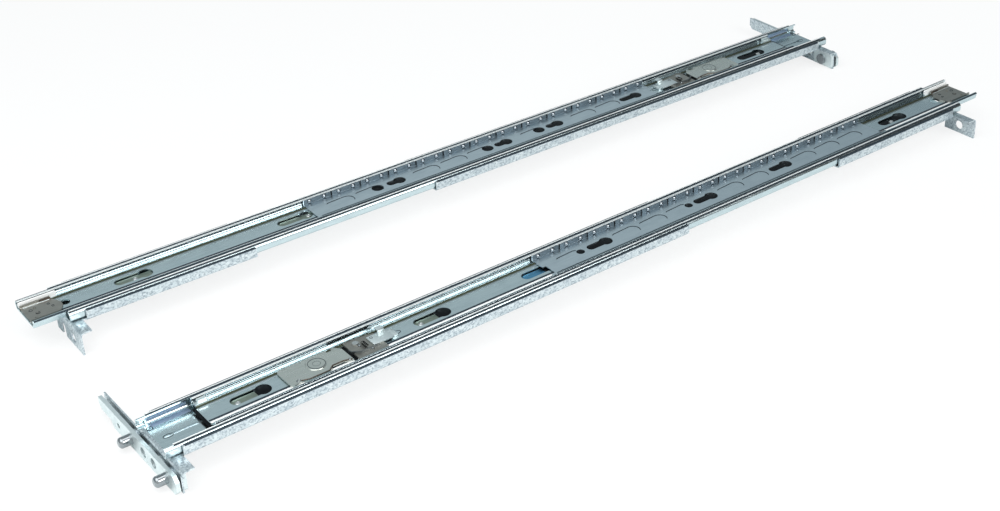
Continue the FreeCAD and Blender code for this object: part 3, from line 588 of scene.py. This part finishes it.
SLIDE_NEAR_BEAD = (-15.75, 23.55)
SLIDE_NEAR_RIM = (-15.4, -14.9)
NEAR_HIGHLIGHT_SIDES = (-8.9, -7.0)
BEND = (-7.0, -5.2)
WEB_EDGE = (7.4, 9.2)
WALL_FOOT = (9.2, 10.3)
WALL_FOOT_HEIGHT = 0.65
DARK_LINE_BEAD = (13.5, 21.9)
SLIDE_FAR_CREASE = (13.6, 22.05)
SLIDE_FAR_BEAD = (13.8, 23.5)
SLIDE_FAR_RIM = (13.85, 14.6)
SLIDE_FAR_EDGE = (14.7, 15.35)

FIXED_NEAR_BEAD = (-16.75, 23.15)
FIXED_FAR_BEAD = (18.4, 22.95)
NEAR_LIP = (-18.2, -17.1)
FAR_LIP = (16.75, 17.9)
CHANNEL_NEAR_SIDE = (-20.56, -19.1)
CHANNEL_FAR_RIM = (19.5, 20.4)
CHANNEL_LEVELS = (CHANNEL_TOP - 0.8, CHANNEL_TOP + 0.15)


def add_slide_edges(rail):
    """The lines of painted shade and painted highlight that run along the sliding member's two
    walls.
    """
    slide = rail + "_slide"
    dark = [bead(SLIDE_RUN, SLIDE_NEAR_BEAD, 0.75), bead(SLIDE_RUN, SLIDE_FAR_CREASE, 0.7),
            strip(SLIDE_RUN, SLIDE_NEAR_RIM, RIM_TOP), strip(SLIDE_RUN, SLIDE_FAR_EDGE, RIM_TOP)]
    # On rail a only, a dark line along the far wall's foot beside the latch
    if rail == "a":
        finish(bead(DARK_LINE_RUN, DARK_LINE_BEAD, 1.1), "slide_dark_line", rail, slide,
               "slide_steel", BLACK_AND_SHADOW)
    finish(joined(dark), "slide_dark_edges", rail, slide, "slide_steel", SHADED)
    finish(strip(SLIDE_RUN, WALL_FOOT, MIDDLE_TOP, WALL_FOOT_HEIGHT), "slide_wall_foot", rail,
           slide, "slide_steel", OLIVE_SHADE)
    finish(strip(SLIDE_RUN, WEB_EDGE, MIDDLE_TOP), "slide_web_edge", rail, slide,
           "slide_steel", WEB_EDGE_SHADE)
    rim = joined([strip(SLIDE_RUN, SLIDE_FAR_RIM, RIM_TOP), bead(SLIDE_RUN, SLIDE_FAR_BEAD, 0.6)])
    finish(rim, "slide_far_rim", rail, slide, "slide_steel", RIM_HIGHLIGHT)


def add_fixed_edges(rail):
    """Painted highlights on the rims and painted shade on the lips of the cabinet member and of the
    brackets' channels.
    """
    bright = joined([bead(FIXED_RUN, FIXED_NEAR_BEAD, 0.85), bead(FIXED_RUN, FIXED_FAR_BEAD, 0.7)])
    finish(bright, "rail_edge_beads", rail, "rails", "slide_steel", RIM_HIGHLIGHT)
    lips = [strip(FIXED_RUN, NEAR_LIP, LIP_TOP), strip(FIXED_RUN, FAR_LIP, LIP_TOP)]
    for run in CHANNEL_RUNS:
        lips += [block(run, CHANNEL_NEAR_SIDE, CHANNEL_LEVELS, 0.03),
                 strip(run, CHANNEL_FAR_RIM, CHANNEL_TOP)]
    finish(joined(lips), "rail_dark_edges", rail, "rails", "slide_steel", SHADED)


# Keyholes. KEYS says where the slots in the sliding member start, and KEY_FLOORS gives each
# kind of floor, the keyholes that show it, and its finish. The floors are sheets set just under
# the slots, and the greenish and dark ones are painted shade. A floor in WHOLE_FLOORS reaches
# under the round eye too. The cage's keyholes are given by their start and length, its round
# holes by their middle, and a rivet by its X and Y.

KEYS = (52.0, 176.0, 257.0, 463.0, 580.0)
KEY_FLOORS = {"a": (("tinted", (52.0, 176.0, 463.0), GREEN_FLOOR_SHADE), ("blue", (257.0,), BLUE_KEY_FLOOR),
                    ("dark", (580.0,), BLACK_AND_SHADOW)),
              "b": (("tinted", (176.0, 463.0, 580.0), GREEN_FLOOR_SHADE), ("blue", (257.0,), BLUE_KEY_FLOOR),
                    ("dark", (52.0,), BLACK_AND_SHADOW))}
WHOLE_FLOORS = {"a": (), "b": (463.0, 580.0)}
KEY_SLOT = 17.0
KEY_LENGTH = 26.0
FLOOR_START = 0.4
FLOOR_END = 0.5
EYE_START = 0.6
EYE_END = 0.5
SLOT_SIDES = (-3.2, 3.9)
EYE_SIDES = (-4.3, 6.7)
KEY_RIVETS = {"a": ((55.8, -0.6), (179.8, -0.6), (590.5, -0.4)),
              "b": ((58.5, -0.4), (179.8, -0.6), (592.5, -0.4), (466.2, 0.4))}
LINER_TOP = 18.52
LINER_LEVELS = (LINER_TOP - 0.3, LINER_TOP)

CAGE_KEYS = {"a": ((309.4, 19.5), (400.9, 19.5), (470.4, 19.5)),
             "b": ((177.7, 19.5), (251.7, 14.5), (297.7, 14.5), (388.7, 14.5))}
CAGE_KEY_MARGIN = 0.5
CAGE_KEY_SIDES = (-4.6, 7.0)
CAGE_HOLES = {"a": (303.7, 395.8), "b": (273.0, 318.5, 410.9)}
CAGE_HOLE_SIDES = (-3.4, 5.8)
CAGE_HOLE_REACH = 4.8
OPENING_SHADOW_LEVELS = (CAGE_BOTTOM - 0.2, CAGE_BOTTOM + 0.05)


def add_keyhole_floors(rail):
    """What the sliding member's keyholes show: floors in painted shade and a blue floor, painted
    shadow in the round eyes, and rivets.
    """
    slide = rail + "_slide"
    whole = WHOLE_FLOORS[rail]
    for name, keys, look in KEY_FLOORS[rail]:
        reach = {x: KEY_LENGTH if x in whole else KEY_SLOT for x in keys}
        floors = [block((x + FLOOR_START, x + reach[x] - FLOOR_END), SLOT_SIDES, LINER_LEVELS, 0.05)
                  for x in keys]
        finish(joined(floors), name + "_keyhole_floors", rail, slide, "slide_steel", look)
    eyes = [block((x + KEY_SLOT - EYE_START, x + KEY_LENGTH + EYE_END), EYE_SIDES, LINER_LEVELS,
                  0.05) for x in KEYS if x not in whole]
    finish(joined(eyes), "keyhole_eye_shadows", rail, slide, "slide_steel", BLACK_AND_SHADOW)
    rivets = [round_head(x, y, LINER_TOP - 0.05, 3.4, 0.85, 0.2) for x, y in KEY_RIVETS[rail]]
    finish(joined(rivets), "keyhole_rivets", rail, slide, "fastener_steel")


def add_cage_backing(rail):
    """Painted shadow: dark pads right under the cage's openings, where no light comes in."""
    pads = [block((x - CAGE_KEY_MARGIN, x + length + CAGE_KEY_MARGIN), CAGE_KEY_SIDES,
                  OPENING_SHADOW_LEVELS, 0.05) for x, length in CAGE_KEYS[rail]]
    pads += [block((x - CAGE_HOLE_REACH, x + CAGE_HOLE_REACH), CAGE_HOLE_SIDES, OPENING_SHADOW_LEVELS,
                   0.05) for x in CAGE_HOLES[rail]]
    finish(joined(pads), "cage_opening_shadows", rail, rail + "_inner_cage", "cage_steel", BLACK_AND_SHADOW)


# Painted shadow: a dark strip under the sliding member's front edge
FRONT_SHADOW_RUN = (32.7, 34.6)
FRONT_SHADOW_SIDES = (-10.5, 10.5)
FRONT_SHADOW_LEVELS = (18.6, 18.9)


def add_web_lines(rail):
    """A painted shade line at the bend and a white painted highlight line along the near side of
    the sliding member's web, and a dark strip of painted shadow under its front end."""
    slide = rail + "_slide"
    finish(strip(SLIDE_RUN, BEND, MIDDLE_TOP), "slide_bend_line", rail, slide,
           "slide_steel", SHADED)
    finish(strip(SLIDE_RUN, NEAR_HIGHLIGHT_SIDES, MIDDLE_TOP), "slide_highlight_line", rail, slide,
           "buffer_plastic")
    front_shadow = block(FRONT_SHADOW_RUN, FRONT_SHADOW_SIDES, FRONT_SHADOW_LEVELS, 0.1)
    finish(front_shadow, "front_edge_shadow", rail, slide, "spring_steel", BLACK_AND_SHADOW)


# The ends. A stop's pressing is X, Y, radius and line; a front pressing is X, Y, Z, radius,
# line and how many times longer than wide it is.

STOP_PRESSINGS = ((657.5, -1.5, 1.3, 0.35), (660.3, 3.6, 1.1, 0.35),
                  (648.5, 4.6, 0.8, 0.35), (647.0, 0.6, 0.8, 0.35))
STOP_WALL_RUN = (645.0, 652.5)
STOP_WALL_SIDES = (9.3, 9.55)
STOP_WALL_LEVELS = (BASE_TOP + 0.1, BASE_TOP + 1.3)
STOP_EDGE_RUN = (646.0, 664.0)
STOP_EDGE_SIDES = (-8.0, -7.2)
STOP_EDGE_LEVELS = (BASE_TOP, BASE_TOP + 0.08)
STOP_FOLD_RUN = (646.0, 663.5)
STOP_FOLD = (8.9, BASE_TOP + 0.1)

FRONT_PRESSINGS = ((12.6, 0.0, CABINET_TOP, 1.6, 0.36, 1.9),
                   (8.0, -12.0, CABINET_TOP + 0.02, 1.1, 0.4, 2.6),
                   (7.4, 12.4, CABINET_TOP, 1.7, 0.4, 1.1),
                   (2.6, 12.0, BRACKET_TOP, 0.9, 0.3, 1.0))
FRONT_WALL_RUN = (9.0, 33.0)
FRONT_WALL_SIDES = (18.06, 18.16)
FRONT_WALL_BANDS = ((17.9, 19.4), (19.7, 22.0))
FRONT_FLOOR_SIDES = (12.5, 16.0)


def add_stop_details(rail):
    """Pressings in painted shade, a folded bright edge, and brown painted shadow along edges on the
    rear stop plate.
    """
    slide = rail + "_slide"
    marks = joined([ring(x, y, BASE_TOP, radius, line) for x, y, radius, line in STOP_PRESSINGS])
    finish(marks, "stop_pressings", rail, slide, "latch_steel", CREASE_SHADE)
    dark = joined([block(STOP_WALL_RUN, STOP_WALL_SIDES, STOP_WALL_LEVELS, 0.05),
                   block(STOP_EDGE_RUN, STOP_EDGE_SIDES, STOP_EDGE_LEVELS, 0.03)])
    finish(dark, "stop_dark_edges", rail, slide, "latch_steel", BROWN_SHADOW)
    finish(bead(STOP_FOLD_RUN, STOP_FOLD, 0.5), "stop_bright_fold", rail, slide, "zinc_plate")


def add_front_end(rail):
    """Shallow pressings in painted shade in the fixed member's floor and the bracket's web, at the
    front, and faces carrying a painted blue-grey reflection on the far wall and the floor there."""
    pressings = joined([ring(*pressing) for pressing in FRONT_PRESSINGS])
    finish(pressings, "front_pressings", rail, "rails", "slide_steel", CREASE_SHADE)
    faces = [block(FRONT_WALL_RUN, FRONT_WALL_SIDES, band, 0.02) for band in FRONT_WALL_BANDS]
    faces.append(strip(FRONT_WALL_RUN, FRONT_FLOOR_SIDES, CABINET_TOP))
    finish(joined(faces), "front_wall_faces", rail, "rails", "slide_steel", BLUE_GREY_REFLECTION)


for rail in ("a", "b"):
    add_balls(rail)
    add_pocket_lips(rail)
    add_facings(rail)
    add_outlines(rail)
    add_lever_details(rail)
    add_latch_spring(rail)
    add_finger_plate(rail)
    add_slide_edges(rail)
    add_fixed_edges(rail)
    add_keyhole_floors(rail)
    add_cage_backing(rail)
    add_web_lines(rail)
    add_stop_details(rail)
    add_front_end(rail)


# Floor, light and camera, in metres

FLOOR_SIZE = 12
FLOOR_GLOW = 0.8
BACK_AIR = "BECACE"
BACK_RIGHT_AIR = "97A4AA"
FRONT_AIR = "F8FBFB"
DARK_AIR = "0E1011"
TOP_AIR = "B4BABC"


def add_floor():
    """White paper: pure white where the camera sees it bare, with the object's shadow."""
    bpy.ops.mesh.primitive_plane_add(size=FLOOR_SIZE, location=(0, 0, 0))
    floor = bpy.context.object
    floor.name = "studio_floor"
    mat, tree, shader = new_material("white studio floor", "F4F6F6", 0.9, 0.0)
    shader.inputs["Specular IOR Level"].default_value = 0.1
    path = add(tree, "LightPath")
    seen = add(tree, "MapRange", {"Value": path.outputs["Is Camera Ray"], "To Max": FLOOR_GLOW})
    white = add(tree, "Emission", {"Color": "FFFFFF"})
    mixed = add(tree, "MixShader", {0: seen.outputs[0], 1: shader.outputs[0], 2: white.outputs[0]})
    tree.links.new(mixed.outputs[0], tree.nodes["Material Output"].inputs["Surface"])
    dress(floor, mat)


def add_light(name, place, target, size, power):
    """A rectangular lamp at a place, turned towards its target."""
    lamp = bpy.data.lights.new(name, "AREA")
    lamp.shape = "RECTANGLE"
    lamp.size, lamp.size_y = size
    lamp.energy = power
    obj = bpy.data.objects.new(name, lamp)
    bpy.context.scene.collection.objects.link(obj)
    obj.location = place
    obj.rotation_euler = (Vector(target) - Vector(place)).to_track_quat("-Z", "Y").to_euler()


def add_world():
    """A studio that is mid-grey behind, greyer there at the right, white at the front,
    dark at the front right, and pale grey overhead."""
    world = bpy.data.worlds.new("studio air")
    bpy.context.scene.world = world
    world.use_nodes = True
    tree = world.node_tree
    around = add(tree, "TexCoord")
    split = add(tree, "SeparateXYZ", {"Vector": around.outputs["Generated"]})
    x, y, z = split.outputs
    behind_right = add(tree, "MapRange", {"Value": x, "From Min": 0.55, "From Max": 0.7})
    rightward = add(tree, "MapRange", {"Value": x, "From Min": 0.3, "From Max": 0.62})
    frontward = add(tree, "MapRange", {"Value": y, "From Min": 0.1, "From Max": -0.3})
    corner = add(tree, "Math", {0: rightward.outputs[0], 1: frontward.outputs[0]},
                 operation="MULTIPLY")
    above = add(tree, "MapRange", {"Value": z, "From Min": 0.75, "From Max": 0.95})
    back = add(tree, "Mix", {0: behind_right.outputs[0], 6: BACK_AIR, 7: BACK_RIGHT_AIR},
               data_type="RGBA")
    front = add(tree, "Mix", {0: frontward.outputs[0], 6: back.outputs[2], 7: FRONT_AIR},
                data_type="RGBA")
    low = add(tree, "Mix", {0: corner.outputs[0], 6: front.outputs[2], 7: DARK_AIR},
              data_type="RGBA")
    air = add(tree, "Mix", {0: above.outputs[0], 6: low.outputs[2], 7: TOP_AIR},
              data_type="RGBA")
    tree.links.new(air.outputs[2], tree.nodes["Background"].inputs["Color"])


# The camera was fitted to the photograph: its focal length and the photograph's width are in
# pixels, its angles in degrees, and its place in rail a's millimetres
FOCAL_PIXELS = 1616.269
IMAGE_WIDTH = 1000
SENSOR_WIDTH = 36
CAMERA_ELEVATION = 30.897
CAMERA_TURN = -34.970
CAMERA_ROLL = -2.902
CAMERA_PLACE = (-243.785, -692.006, 548.293)


def add_camera():
    """The photograph's camera, aimed by its turn, its elevation and its roll."""
    turn, lift, roll = (math.radians(v) for v in (CAMERA_TURN, CAMERA_ELEVATION, CAMERA_ROLL))
    level = Vector((math.cos(turn), math.sin(turn), 0))
    away = Vector((-math.sin(turn), math.cos(turn), 0))
    ahead = away * math.cos(lift) - Vector((0, 0, math.sin(lift)))
    upward = level.cross(ahead)
    right = level * math.cos(roll) + upward * math.sin(roll)
    top = upward * math.cos(roll) - level * math.sin(roll)
    lens = bpy.data.cameras.new("photo camera")
    lens.sensor_width = SENSOR_WIDTH
    lens.lens = FOCAL_PIXELS * SENSOR_WIDTH / IMAGE_WIDTH
    camera = bpy.data.objects.new("photo camera", lens)
    bpy.context.scene.collection.objects.link(camera)
    camera.matrix_world = Matrix((right, top, -ahead)).transposed().to_4x4()
    camera.location = (ORIGIN + Vector(CAMERA_PLACE)) * MM
    bpy.context.scene.camera = camera


add_floor()
add_world()
add_light("overhead", place=(-0.5, -0.15, 0.75), target=(-0.4, -0.05, 0), size=(0.8, 0.8), power=5)
add_light("front softbox", place=(0.6, -1.75, 1.25), target=(0, 0, 0), size=(1.15, 0.9), power=22)
add_camera()
bpy.context.scene.view_settings.view_transform = "Standard"
